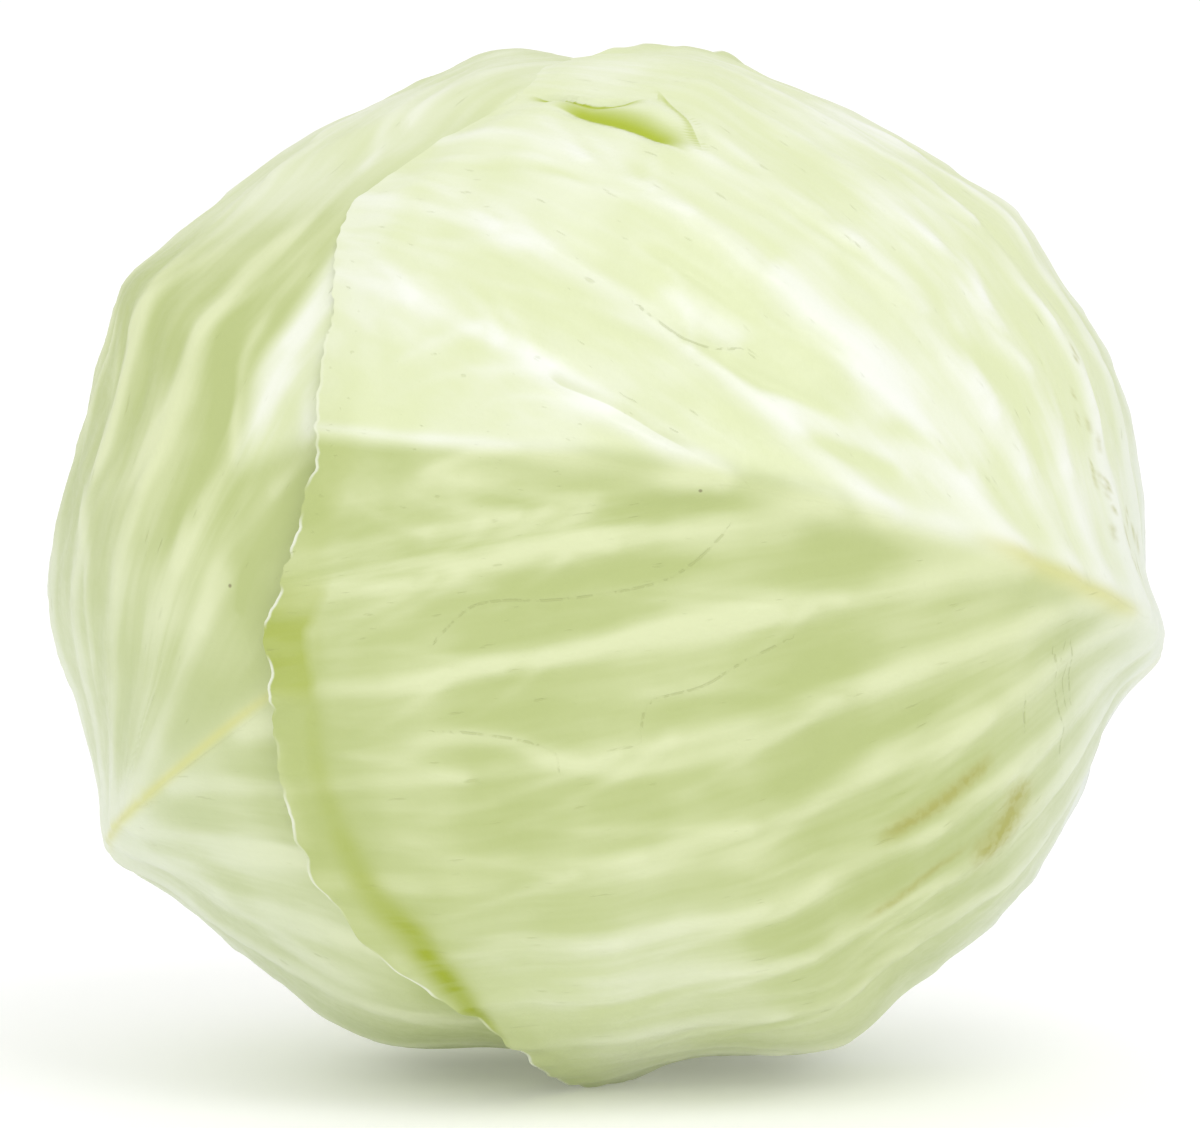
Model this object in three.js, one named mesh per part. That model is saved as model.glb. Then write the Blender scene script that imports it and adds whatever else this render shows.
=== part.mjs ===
// White cabbage head, lying on its side with its cut stem at the back.
//
// Five outer leaves wrap a dense inner head, and the cut stem stands out between their stalks. Every
// surface is a distance from the head's middle. A leaf is one layer deeper wherever another leaf
// covers it, and it rises to the outside past that leaf's edge.
// Millimetres, +Z up. The origin is on the surface that the head lies on, at its box's centre.
// The top of the head faces -Y, and its stem points to +Y and a little down.

import * as THREE from 'three';

const rad = THREE.MathUtils.degToRad;
const deg = THREE.MathUtils.radToDeg;

// Head: its outline as [turn in degrees from +X, radius], and the depth of the domes in front of and
// behind that outline. The outline's plane leans back by OUTLINE_TILT.
const OUTLINE = [
  [0, 89.6], [20, 90.4], [40, 88.6], [60, 85.8], [80, 85.6], [100, 85.4], [118, 85.6], [134, 87.8], [150, 90.6],
  [166, 90.2], [186, 90.9], [206, 90.2], [226, 88.4], [244, 87.6], [260, 86.0], [276, 85.8], [292, 87.0],
  [310, 88.0], [328, 88.5], [346, 88.4],
];
const FRONT_DEPTH = 78;
const BACK_DEPTH = 76;
const DOME_POWER = 2.3;
const OUTLINE_TILT = 7;
const MIDDLE = new THREE.Vector3(-1.17, -1.81, 84.6);

// Stem: its direction from the middle as (right, up, front) of the outline, and its cut stump, whose
// sides point at the middle.
const STEM_AXIS = new THREE.Vector3(-0.074, -0.192, -0.979).normalize();
const STUMP_ARC = 10.6;
const STUMP_END = 83;
const STUMP_SEAT = 61;
const STUMP_BEVEL = 1.5;
const STUMP_SIDES = 28;
const PIECE_GAP = 0.5;

// Leaves: a layer is one blade and the space under it.
const BLADE = 1.0;
const LAYER = 2.7;
const EDGE_CURL = 1.3;
const FULL_COVER = 5;
const NO_COVER = 28;
const RIB_BOW = 0.28;
const RIB_HEIGHT = 1.5;
const RIB_WIDTH = 3.4;
const MAP_CENTRE = 105;
const BASE = -93.6;

// The ribs of each half of a leaf, from its base to its tip, as [where the rib leaves the midrib,
// where it meets the leaf's edge along the midrib, and across it]. These are degrees of arc about the
// head's middle, from the point of the midrib that is MAP_CENTRE degrees from the stem. Left and
// right are as seen from outside with the tip up.
const FRONT_RIBS = {
  left: [
    [BASE, BASE, 15], [-84, -84, 36], [-68, -60, 66], [-46, -30, 82], [-26, -2, 86], [-12, 17, 88],
    [-6, 32, 89], [0, 46, 89], [8, 63, 88], [15, 82, 76], [29, 97, 60], [52, 107, 43], [67, 110, 33],
    [84, 112.5, 0],
  ],
  right: [
    [BASE, BASE, 15], [-84, -84, 36], [-68, -58, 66], [-48, -28, 82], [-30, -4, 84], [-16, 11, 82],
    [-4, 22, 79], [5, 32, 75], [14, 44, 69], [21, 56, 67], [30, 80, 76], [46, 97, 63], [65, 107, 42],
    [84, 112.5, 0],
  ],
};
const SIDE_RIBS = {
  left: [
    [BASE, BASE, 15], [-84, -84, 34], [-72, -66, 62], [-56, -42, 82], [-42, -22, 91], [-32, -6, 96],
    [-24, 12, 100], [-17, 32, 103], [-10, 52, 98], [-5, 66, 84], [-3, 78, 68], [30, 96, 34], [64, 102, 0],
  ],
  right: [
    [BASE, BASE, 15], [-84, -84, 34], [-72, -68, 60], [-58, -44, 80], [-44, -22, 88], [-32, -4, 90],
    [-22, 11, 90], [-14, 29, 84], [-6, 46, 76], [4, 64, 66], [16, 79, 51], [38, 93, 27], [64, 102, 0],
  ],
};
const BROAD_RIBS = {
  left: [
    [BASE, BASE, 15], [-82, -80, 40], [-64, -56, 70], [-44, -22, 88], [-24, 14, 91], [-6, 48, 84],
    [16, 74, 64], [42, 92, 34], [68, 98, 0],
  ],
  right: [
    [BASE, BASE, 15], [-82, -80, 38], [-64, -54, 68], [-42, -18, 86], [-22, 16, 90], [-2, 50, 83],
    [20, 76, 62], [44, 92, 34], [68, 98, 0],
  ],
};

// Shares of a rib's length where a leaf's mesh has a row, closer together at the midrib and the edge.
const ROWS = [0, 0.04, 0.09, 0.16, 0.25, 0.35, 0.46, 0.57, 0.68, 0.78, 0.87, 0.94, 1];

// The outer leaves from the outermost in: each grew about 140 degrees round the stem from the last.
// steps is the number of mesh columns from one rib to the next, knuckle is how far the midrib stands
// out where it bends round the head's shoulder, and bend is where.
const LEAVES = [
  { name: 'leaf_1_front', turn: -9.3, ribs: FRONT_RIBS, steps: 3, knuckle: 4.0, bend: -12 },
  { name: 'leaf_2_left', turn: 210.6, ribs: SIDE_RIBS, steps: 2, knuckle: 3.6, bend: -23 },
  { name: 'leaf_3_top', turn: 70, ribs: BROAD_RIBS, steps: 3, knuckle: 3.2, bend: -20 },
  { name: 'leaf_4_under', turn: 290, ribs: BROAD_RIBS, steps: 3, knuckle: 2.4, bend: -20 },
  { name: 'leaf_5_back', turn: 150, ribs: BROAD_RIBS, steps: 3, knuckle: 2.4, bend: -20 },
];
const KNUCKLE_WIDTH = 16;
const KNUCKLE_LENGTH = 34;
const MIDRIB_HEIGHT = { base: 3.6, tip: 0.5 };
const MIDRIB_WIDTH = { base: 11, tip: 3.5 };

// Inner head: the packed leaves under the outer ones, drawn as one dense ball.
const INNER_DEPTH = 5.5;
const INNER_SLACK = 0.8;
const INNER_RINGS = 20;
const INNER_SIDES = 30;

const leafMaterial = (colour) => new THREE.MeshStandardMaterial({ color: colour, roughness: 0.5, metalness: 0 });
const OUTER_GREEN = leafMaterial(0xd0daa0);
const PALE_GREEN = leafMaterial(0xdde4bb);
const HEART = leafMaterial(0xeceed2);
const STEM = leafMaterial(0xe6e2c4);

const smooth = (x) => THREE.MathUtils.smoothstep(x, 0, 1);
const bell = (x) => Math.exp(-x * x);
const mix = THREE.MathUtils.lerp;

/** The cubic through v1 and v2 at a share between them, with the slopes that their neighbours give. */
function cubic([v0, v1, v2, v3], share) {
  const bend = 2 * v0 - 5 * v1 + 4 * v2 - v3 + share * (3 * (v1 - v2) + v3 - v0);
  return v1 + 0.5 * share * (v2 - v0 + share * bend);
}

/** A smooth closed curve through [turn, value] points in order of turn. */
function closedCurve(points, turn) {
  const x = THREE.MathUtils.euclideanModulo(turn, 360);
  const next = points.findIndex(([t]) => t > x);
  const i = (next < 0 ? points.length : next) - 1;
  const at = (k) => {
    const lap = Math.floor(k / points.length);
    const [t, v] = points[k - lap * points.length];
    return [t + 360 * lap, v];
  };
  const [[t0, v0], [t1, v1], [t2, v2], [t3, v3]] = [i - 1, i, i + 1, i + 2].map(at);
  const width = t2 - t1;
  const s = (x - t1) / width;
  const slope1 = ((v2 - v0) / (t2 - t0)) * width;
  const slope2 = ((v3 - v1) / (t3 - t1)) * width;
  const rise = s * s * (3 - 2 * s);
  return mix(v1, v2, rise) + s * (1 - s) * ((1 - s) * slope1 - s * slope2);
}

/** A direction given as (right, up, front) of the outline, in the part's own axes. */
function toPart(v) {
  const tilt = rad(OUTLINE_TILT);
  return new THREE.Vector3(
    v.x,
    v.y * Math.sin(tilt) - v.z * Math.cos(tilt),
    v.y * Math.cos(tilt) + v.z * Math.sin(tilt),
  );
}

/** How far a direction reaches from the middle before it meets the surface that the head lies on. */
function floorReach(direction) {
  const down = -toPart(direction).z;
  return down > 0.2 ? MIDDLE.z / down : Infinity;
}

/** The head's outer size along a direction: domes on the outline, flat where it lies. */
function headRadius(direction) {
  const across = Math.hypot(direction.x, direction.y);
  const outline = closedCurve(OUTLINE, deg(Math.atan2(direction.y, direction.x)));
  const depth = direction.z > 0 ? FRONT_DEPTH : BACK_DEPTH;
  const sum = (across / outline) ** DOME_POWER + (Math.abs(direction.z) / depth) ** DOME_POWER;
  return Math.min(sum ** (-1 / DOME_POWER), floorReach(direction));
}

/** A leaf's axes on the head: out through its map's centre, along its midrib to the tip, and across. */
function leafAxes(turn) {
  const right = new THREE.Vector3(1, 0, 0).addScaledVector(STEM_AXIS, -STEM_AXIS.x).normalize();
  const up = new THREE.Vector3().crossVectors(right, STEM_AXIS);
  const outward = right.multiplyScalar(Math.cos(rad(turn))).addScaledVector(up, Math.sin(rad(turn)));
  const [cos, sin] = [Math.cos(rad(MAP_CENTRE)), Math.sin(rad(MAP_CENTRE))];
  const centre = STEM_AXIS.clone().multiplyScalar(cos).addScaledVector(outward, sin);
  const along = STEM_AXIS.clone().multiplyScalar(-sin).addScaledVector(outward, cos);
  return { centre, along, across: new THREE.Vector3().crossVectors(centre, along) };
}

/** The direction from the head's middle to a point of a leaf's map. */
function mapDirection({ centre, along, across }, [p, q]) {
  const arc = Math.hypot(p, q);
  const spread = arc > 0 ? Math.sin(rad(arc)) / arc : rad(1);
  return centre.clone().multiplyScalar(Math.cos(rad(arc)))
    .addScaledVector(along, p * spread)
    .addScaledVector(across, q * spread);
}

/** A leaf's edge as seen from its map's centre: [turn, arc] points round it. */
function edgeOfLeaf({ left, right }) {
  const ends = [...left.map(([, p, q]) => [p, q]), ...right.slice(0, -1).map(([, p, q]) => [p, -q])];
  return ends
    .map(([p, q]) => [THREE.MathUtils.euclideanModulo(deg(Math.atan2(q, p)), 360), Math.hypot(p, q)])
    .sort((a, b) => a[0] - b[0]);
}

for (const leaf of LEAVES) {
  leaf.axes = leafAxes(leaf.turn);
  leaf.edge = edgeOfLeaf(leaf.ribs);
}

/** 1 where a leaf covers a direction, falling to 0 a little way past its edge. */
function cover({ axes, edge }, direction) {
  const arc = deg(Math.acos(THREE.MathUtils.clamp(direction.dot(axes.centre), -1, 1)));
  const turn = deg(Math.atan2(direction.dot(axes.across), direction.dot(axes.along)));
  const past = arc - closedCurve(edge, turn);
  return 1 - smooth((past - FULL_COVER) / (NO_COVER - FULL_COVER));
}

/** How deep the leaves outside the one with this number press it, and how open to the air it is. */
function pressedBy(number, direction) {
  const covers = LEAVES.slice(0, number).map((leaf) => cover(leaf, direction));
  return {
    depth: LAYER * covers.reduce((sum, c) => sum + c, 0),
    open: covers.reduce((product, c) => product * (1 - c), 1),
  };
}

/** The rib at a place between the listed ones: 2.5 is halfway from rib 2 to rib 3. */
function ribAt(ribs, place) {
  const i = Math.min(Math.floor(place), ribs.length - 2);
  const near = [i - 1, i, i + 1, i + 2].map((k) => ribs[THREE.MathUtils.clamp(k, 0, ribs.length - 1)]);
  return [0, 1, 2].map((value) => cubic(near.map((rib) => rib[value]), place - i));
}

/** A point of a rib at a share of its length. The rib leaves along the midrib and bends outwards. */
function ribPoint([start, end, out], share) {
  const bow = RIB_BOW * share * (1 - share);
  return [mix(start, end, share + bow), out * (share - bow)];
}

/** How far the midrib, its knuckle and the ribs stand out of a leaf: rounded across, lower outwards. */
function relief(leaf, ribs, place, share, [p, q]) {
  const degree = headRadius(mapDirection(leaf.axes, [p, q])) * rad(1);
  const fromBase = (p - BASE) / (110 - BASE);
  const knuckle = leaf.knuckle * bell((q * degree) / KNUCKLE_WIDTH) * bell((p - leaf.bend) / KNUCKLE_LENGTH);
  const midribWidth = mix(MIDRIB_WIDTH.base, MIDRIB_WIDTH.tip, fromBase);
  const midrib = mix(MIDRIB_HEIGHT.base, MIDRIB_HEIGHT.tip, fromBase) * bell((q * degree) / midribWidth);
  const i = Math.min(Math.floor(place), ribs.length - 2);
  const [[p1, q1], [p2, q2]] = [ribs[i], ribs[i + 1]].map((rib) => ribPoint(rib, share));
  const apart = Math.hypot(p2 - p1, q2 - q1) * degree;
  const height = RIB_HEIGHT * (1 - 0.65 * share) * smooth(share / 0.12);
  const width = RIB_WIDTH * (1 - 0.4 * share);
  const [fromFirst, toSecond] = [(place - i) * apart, (i + 1 - place) * apart];
  return knuckle + midrib + height * (bell(fromFirst / width) + bell(toSecond / width));
}

/** The outside and inside points of a leaf at a place among its ribs and a share of their length. */
function leafPoints(leaf, number, { ribs, hand }, place, share) {
  const [start, end, out] = ribAt(ribs, place);
  const [p, q] = ribPoint([start, end, out], share);
  const direction = mapDirection(leaf.axes, [p, hand * q]);
  const { depth, open } = pressedBy(number, direction);
  const curl = EDGE_CURL * open * smooth((share - 0.88) / 0.12);
  const inside = headRadius(direction) - depth - BLADE + curl;
  const outside = inside + BLADE + open * relief(leaf, ribs, place, share, [p, q]);
  const reach = floorReach(direction);
  const at = (radius) => toPart(direction).multiplyScalar(radius).add(MIDDLE);
  return [at(Math.min(outside, reach)), at(Math.min(inside, reach - BLADE))];
}

/** A leaf as one closed blade. Columns run out along the ribs, and both faces are split alike. */
function leafGeometry(leaf, number) {
  const left = { ribs: leaf.ribs.left, hand: 1 };
  const right = { ribs: leaf.ribs.right, hand: -1 };
  const tip = (left.ribs.length - 1) * leaf.steps;
  const edge = ROWS.length - 1;
  const midrib = left.ribs.map(([start], k) => [(start + right.ribs[k][0]) / 2, 0, 0]);
  const positions = [];
  const index = [];
  const pairs = new Map();

  // The outside and inside vertices of a column's row. Both halves share the midrib and the tip.
  const pair = (half, column, row) => {
    const owner = row === 0 || column === tip ? 0 : half.hand;
    const key = `${owner} ${column} ${row}`;
    if (!pairs.has(key)) {
      const ribs = row === 0 ? midrib : half.ribs;
      const points = leafPoints(leaf, number, { ribs, hand: half.hand }, column / leaf.steps, ROWS[row]);
      pairs.set(key, positions.length / 3);
      for (const { x, y, z } of points) positions.push(x, y, z);
    }
    return pairs.get(key);
  };
  const quad = (a, b, c, d, turned) => index.push(...(turned ? [a, c, b, a, d, c] : [a, b, c, a, c, d]));

  for (const half of [left, right]) {
    const turned = half.hand < 0;
    for (let c = 0; c < tip; c += 1) {
      for (let r = 0; r < edge; r += 1) {
        const corners = [pair(half, c, r), pair(half, c + 1, r), pair(half, c + 1, r + 1), pair(half, c, r + 1)];
        quad(...corners, turned);
        quad(...corners.map((corner) => corner + 1), !turned);
      }
      const [from, to] = [pair(half, c, edge), pair(half, c + 1, edge)];
      quad(from, to, to + 1, from + 1, turned);
    }
    for (let r = 0; r < edge; r += 1) {
      const [from, to] = [pair(half, 0, r), pair(half, 0, r + 1)];
      quad(from, to, to + 1, from + 1, turned);
    }
  }
  const geometry = new THREE.BufferGeometry();
  geometry.setAttribute('position', new THREE.Float32BufferAttribute(positions, 3));
  geometry.setIndex(index);
  return geometry;
}

/** The inner head: a ball of rings about the stem's axis, flat under the stump. */
function innerHeadGeometry() {
  const ball = new THREE.SphereGeometry(1, INNER_SIDES, INNER_RINGS);
  const turn = new THREE.Quaternion().setFromUnitVectors(new THREE.Vector3(0, 1, 0), STEM_AXIS);
  const at = ball.getAttribute('position');
  for (let i = 0; i < at.count; i += 1) {
    const direction = new THREE.Vector3().fromBufferAttribute(at, i).normalize().applyQuaternion(turn);
    const { depth } = pressedBy(LEAVES.length, direction);
    const alongStem = direction.dot(STEM_AXIS);
    const seat = alongStem > 0 ? (STUMP_SEAT - PIECE_GAP) / alongStem : Infinity;
    const radius = Math.min(headRadius(direction) - Math.max(depth + INNER_SLACK, INNER_DEPTH), seat);
    const place = toPart(direction).multiplyScalar(radius).add(MIDDLE);
    at.setXYZ(i, place.x, place.y, place.z);
  }
  return ball;
}

/** The cut stump: a short cone frustum with a bevelled rim, its axis along +Y from the middle. */
function stumpGeometry() {
  const slope = Math.tan(rad(STUMP_ARC));
  const rim = STUMP_END * slope;
  const profile = [
    [0, STUMP_SEAT], [STUMP_SEAT * slope, STUMP_SEAT], [(STUMP_END - STUMP_BEVEL) * slope, STUMP_END - STUMP_BEVEL],
    [rim - STUMP_BEVEL, STUMP_END], [0, STUMP_END],
  ];
  return new THREE.LatheGeometry(profile.map(([x, y]) => new THREE.Vector2(x, y)), STUMP_SIDES);
}

const cabbage = new THREE.Group();
cabbage.name = 'cabbage_head';

/** Adds a piece of the cabbage under its name. */
function add(name, geometry, material) {
  const piece = new THREE.Mesh(geometry, material);
  piece.name = name;
  cabbage.add(piece);
  return piece;
}

add('inner_head', innerHeadGeometry(), HEART);
LEAVES.forEach((leaf, number) => {
  add(leaf.name, leafGeometry(leaf, number), number < 2 ? OUTER_GREEN : PALE_GREEN);
});
const stump = add('stem', stumpGeometry(), STEM);
stump.quaternion.setFromUnitVectors(new THREE.Vector3(0, 1, 0), toPart(STEM_AXIS));
stump.position.copy(MIDDLE);

export default cabbage;
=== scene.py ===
"""A white cabbage head lying on its side: five outer leaves round a dense inner head, and the cut stem.

Every surface is a distance from the head's middle, along directions given as (right, up, front) of
the head's outline. Lengths are millimetres and angles degrees until a mesh is made, in metres.
"""

import math

import bpy
import numpy as np
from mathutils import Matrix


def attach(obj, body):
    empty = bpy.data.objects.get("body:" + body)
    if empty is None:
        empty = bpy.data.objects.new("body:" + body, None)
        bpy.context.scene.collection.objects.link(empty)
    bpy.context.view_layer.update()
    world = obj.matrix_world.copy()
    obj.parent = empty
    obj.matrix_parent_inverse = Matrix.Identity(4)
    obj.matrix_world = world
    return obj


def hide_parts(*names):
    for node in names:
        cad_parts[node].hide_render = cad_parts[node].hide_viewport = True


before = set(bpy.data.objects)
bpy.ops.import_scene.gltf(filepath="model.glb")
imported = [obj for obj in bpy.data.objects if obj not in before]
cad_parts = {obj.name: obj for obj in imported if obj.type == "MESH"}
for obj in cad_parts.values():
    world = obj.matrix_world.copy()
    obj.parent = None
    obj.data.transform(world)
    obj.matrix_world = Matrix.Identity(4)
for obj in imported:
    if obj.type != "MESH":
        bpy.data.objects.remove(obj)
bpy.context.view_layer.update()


# The view: a plain white floor under soft daylight, seen from the front and a little above, square
# to the plane of the head's outline.
MIDDLE = np.array([-1.17, -1.81, 84.6])
TILT = math.radians(7)
CAMERA_AWAY = 3.0
PICTURE_WIDTH = 0.2


def to_part(places):
    """Points given as (right, up, front) of the outline, in the part's axes: turned back by the tilt."""
    right, up, front = np.moveaxis(np.asarray(places, float), -1, 0)
    back = up * math.sin(TILT) - front * math.cos(TILT)
    height = up * math.cos(TILT) + front * math.sin(TILT)
    return np.stack([right, back, height], axis=-1)


def to_metres(places):
    """Points about the head's middle, in the part's frame."""
    return (to_part(places) + MIDDLE) / 1000


def put_in_scene(name, data):
    """A new object with its data, in the scene."""
    thing = bpy.data.objects.new(name, data)
    bpy.context.scene.collection.objects.link(thing)
    return thing


camera_data = bpy.data.cameras.new("camera")
camera_data.sensor_width = 36
camera_data.lens = 36 * CAMERA_AWAY / PICTURE_WIDTH
camera_data.clip_start = 0.1
camera_data.clip_end = 50
camera = put_in_scene("camera", camera_data)
camera.location = to_metres([0, 0, CAMERA_AWAY * 1000])
camera.rotation_euler = (math.pi / 2 - TILT, 0, 0)
bpy.context.scene.camera = camera
bpy.context.scene.view_settings.view_transform = "Standard"

FLOOR_HALF = 6.0
floor_mesh = bpy.data.meshes.new("floor")
floor_corners = [(-1, -1, 0), (1, -1, 0), (1, 1, 0), (-1, 1, 0)]
floor_mesh.from_pydata((np.array(floor_corners) * FLOOR_HALF).tolist(), [], [(0, 1, 2, 3)])
floor = put_in_scene("floor", floor_mesh)
floor_material = bpy.data.materials.new("floor white")
floor_material.use_nodes = True
floor_paint = floor_material.node_tree.nodes["Principled BSDF"].inputs
floor_paint["Base Color"].default_value = (0.93, 0.93, 0.93, 1)
floor_paint["Roughness"].default_value = 0.9
floor_paint["Emission Color"].default_value = (1, 1, 1, 1)
floor_paint["Emission Strength"].default_value = 0.14
floor_mesh.materials.append(floor_material)

world = bpy.data.worlds.new("soft white room")
world.use_nodes = True
bpy.context.scene.world = world
HORIZON_LIGHT = 0.84
ZENITH_LIGHT = 1.0
sky = world.node_tree
sky_way = sky.nodes.new("ShaderNodeTexCoord")
sky_height = sky.nodes.new("ShaderNodeSeparateXYZ")
sky_light = sky.nodes.new("ShaderNodeMapRange")
sky_light.inputs["To Min"].default_value = HORIZON_LIGHT
sky_light.inputs["To Max"].default_value = ZENITH_LIGHT
sky.links.new(sky_way.outputs["Generated"], sky_height.inputs[0])
sky.links.new(sky_height.outputs["Z"], sky_light.inputs["Value"])
sky.links.new(sky_light.outputs[0], sky.nodes["Background"].inputs["Strength"])
sky.nodes["Background"].inputs["Color"].default_value = (1, 1, 1, 1)


def soft_light(name, place, size, power):
    """A square lamp of a size in metres that shines from a place at the head's middle."""
    lamp = bpy.data.lights.new(name, "AREA")
    lamp.shape = "SQUARE"
    lamp.size = size
    lamp.energy = power
    holder = put_in_scene(name, lamp)
    holder.location = place
    aim = MIDDLE / 1000 - np.array(place)
    holder.rotation_euler = (math.acos(-aim[2] / np.linalg.norm(aim)), 0, math.atan2(-aim[0], aim[1]))


soft_light("key light", (0.6, -1.0, 1.8), 1.0, 7.2)
soft_light("fill light", (-1.0, -1.1, 0.3), 1.0, 1.9)


# Inner head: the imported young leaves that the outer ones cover. It shows only as pale flesh in the
# gaps, so its solid stays as it is and gets the colour of blanched leaf with faint folds.
def colour(red, green, blue):
    """A display colour from 0 to 255 as the linear colour that a shader takes."""
    shares = np.array([red, green, blue]) / 255
    linear = np.where(shares <= 0.04045, shares / 12.92, ((shares + 0.055) / 1.055) ** 2.4)
    return (*linear.tolist(), 1)


def add_node(tree, kind, inputs=(), **settings):
    """Adds a node, sets what it is, and fills or joins its inputs, each by name or number."""
    made = tree.nodes.new(kind)
    for name, value in settings.items():
        setattr(made, name, value)
    for socket, value in dict(inputs).items():
        if isinstance(value, bpy.types.NodeSocket):
            tree.links.new(value, made.inputs[socket])
        else:
            made.inputs[socket].default_value = value
    return made


def calculate(tree, operation, first, second=0.0):
    """A number worked out from one or two others."""
    return add_node(tree, "ShaderNodeMath", {0: first, 1: second}, operation=operation).outputs[0]


def times(tree, first, second):
    """Two numbers multiplied."""
    return calculate(tree, "MULTIPLY", first, second)


def blend_colours(tree, share, first, second):
    """The first colour where the share is 0 and the second where it is 1."""
    mixer = add_node(tree, "ShaderNodeMix", {0: share, 6: first, 7: second}, data_type="RGBA")
    return mixer.outputs[2]


def ramp(tree, value, low, high, to_low=0.0, to_high=1.0):
    """A value from low to high as a smooth step from to_low to to_high."""
    inputs = {"Value": value, "From Min": low, "From Max": high, "To Min": to_low, "To Max": to_high}
    return add_node(tree, "ShaderNodeMapRange", inputs, interpolation_type="SMOOTHSTEP").outputs["Result"]


def noise(tree, place, scale, roughness=0.5):
    """Soft noise, about 0 to 1, with two finer layers over it."""
    inputs = {"Vector": place, "Scale": scale, "Detail": 2.0, "Roughness": roughness}
    return add_node(tree, "ShaderNodeTexNoise", inputs).outputs[0]


def scaled(tree, place, along):
    """Places with each coordinate multiplied by a number of its own."""
    return add_node(tree, "ShaderNodeVectorMath", {0: place, 1: along}, operation="MULTIPLY").outputs[0]


def emboss(tree, shader, height, distance, strength=1.0):
    """Bumps the skin of a material by a height from 0 to 1 that stands for a distance in metres."""
    inputs = {"Strength": strength, "Distance": distance, "Height": height}
    tree.links.new(add_node(tree, "ShaderNodeBump", inputs).outputs[0], shader.inputs["Normal"])


def stored(tree, title):
    """A value that the mesh carries at its vertices under a title."""
    return add_node(tree, "ShaderNodeAttribute", attribute_name=title).outputs["Fac"]


def new_material(name):
    """An empty material with its node tree, shader and object coordinates."""
    material = bpy.data.materials.new(name)
    material.use_nodes = True
    tree = material.node_tree
    place = add_node(tree, "ShaderNodeTexCoord").outputs["Object"]
    return material, tree, tree.nodes["Principled BSDF"], place


def new_group(name, place, numbers, outputs):
    """A shader node group that takes a place and numbers with their usual values, and gives numbers."""
    group = bpy.data.node_groups.new(name, "ShaderNodeTree")
    group.interface.new_socket(name=place, in_out="INPUT", socket_type="NodeSocketVector")
    for title, value in numbers.items():
        socket = group.interface.new_socket(name=title, in_out="INPUT", socket_type="NodeSocketFloat")
        socket.default_value = value
    for title in outputs:
        group.interface.new_socket(name=title, in_out="OUTPUT", socket_type="NodeSocketFloat")
    return group, group.nodes.new("NodeGroupInput").outputs, group.nodes.new("NodeGroupOutput").inputs


def grouped(tree, group, inputs):
    """A node group placed in a material with its own values."""
    return add_node(tree, "ShaderNodeGroup", inputs, node_tree=group).outputs


# Clouded tone of leaf flesh: broad clouds of noise with finer ones over them, from 0 to 1.
clouds, taken, given = new_group("leaf clouds", "Place", {"Size": 40.0}, ["Tone", "Grain"])
broad_noise = noise(clouds, taken["Place"], taken["Size"], 0.55)
grain_noise = noise(clouds, taken["Place"], times(clouds, taken["Size"], 16.0))
clouds.links.new(ramp(clouds, broad_noise, 0.3, 0.7), given["Tone"])
clouds.links.new(ramp(clouds, grain_noise, 0.25, 0.75), given["Grain"])

heart_material, tree, shader, place = new_material("blanched inner leaf")
cloud = grouped(tree, clouds, {"Place": place})
flesh = blend_colours(tree, cloud["Tone"], colour(232, 236, 204), colour(243, 243, 222))
tree.links.new(flesh, shader.inputs["Base Color"])
shader.inputs["Roughness"].default_value = 0.5
emboss(tree, shader, cloud["Grain"], 0.0004)
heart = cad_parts["inner_head"]
heart.data.materials.clear()
heart.data.materials.append(heart_material)


# Outer leaves: broad blades that grew from the stem's foot and wrap the head one over the other. Each
# has a thick pale midrib with a knuckle where it bends round the head's shoulder, ribs that fan from
# the midrib to a thin ragged edge, and a blade one layer deeper wherever another leaf covers it.
OUTLINE = [
    (0, 90.0), (10, 90.4), (20, 91.1), (33, 89.6), (40, 89.8), (48, 87.3), (60, 85.7), (70, 85.4), (78, 86.3),
    (90, 85.0), (101, 86.3), (110, 84.9), (122, 85.8), (135, 86.7), (143, 88.8), (149.5, 91.6), (157, 89.7),
    (165, 88.7), (175, 90.4), (184, 91.2), (195, 89.2), (203, 90.0), (211, 90.0), (219, 88.4), (230, 86.7),
    (240, 88.1), (247, 88.1), (258, 84.9), (270, 85.4), (282, 84.2), (297, 88.9), (306, 87.0), (322, 88.7),
    (333, 88.3), (345, 88.1), (351, 89.2),
]
FRONT_DEPTH = 78
BACK_DEPTH = 76
DOME_POWER = 2.3
FULL_TURN = 360
BLADE = 1.0
LAYER = 2.7
EDGE_CURL = 1.3
FULL_COVER = 5
NO_COVER = 28
RIB_BOW = 0.28
MAP_CENTRE = 105
BASE = -93.6
TIP = 110
HEAD_SIZE = 85
DEGREE = math.radians(1) * HEAD_SIZE
MIDRIB_HEIGHT = (2.6, 0.5)
MIDRIB_WIDTH = (8.5, 3)
VEIN_HEIGHT = (0.34, 0.1)
VEIN_WIDTH = (1.5, 1.0)
EDGE_BLADE = 0.55
THINNING = 9
CURL_REACH = 13
UNEVENNESS = [(0.45, 34), (0.16, 11), (0.05, 4.5)]
LEAF_SHARP = 62
MAP_RIBS = 15
MAP_LENGTH = 1.3

stem_axis = np.array([-0.074, -0.192, -0.979])
stem_axis /= np.linalg.norm(stem_axis)
stem_right = np.array([1, 0, 0]) - stem_axis * stem_axis[0]
stem_right /= np.linalg.norm(stem_right)
stem_up = np.cross(stem_right, stem_axis)

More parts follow.
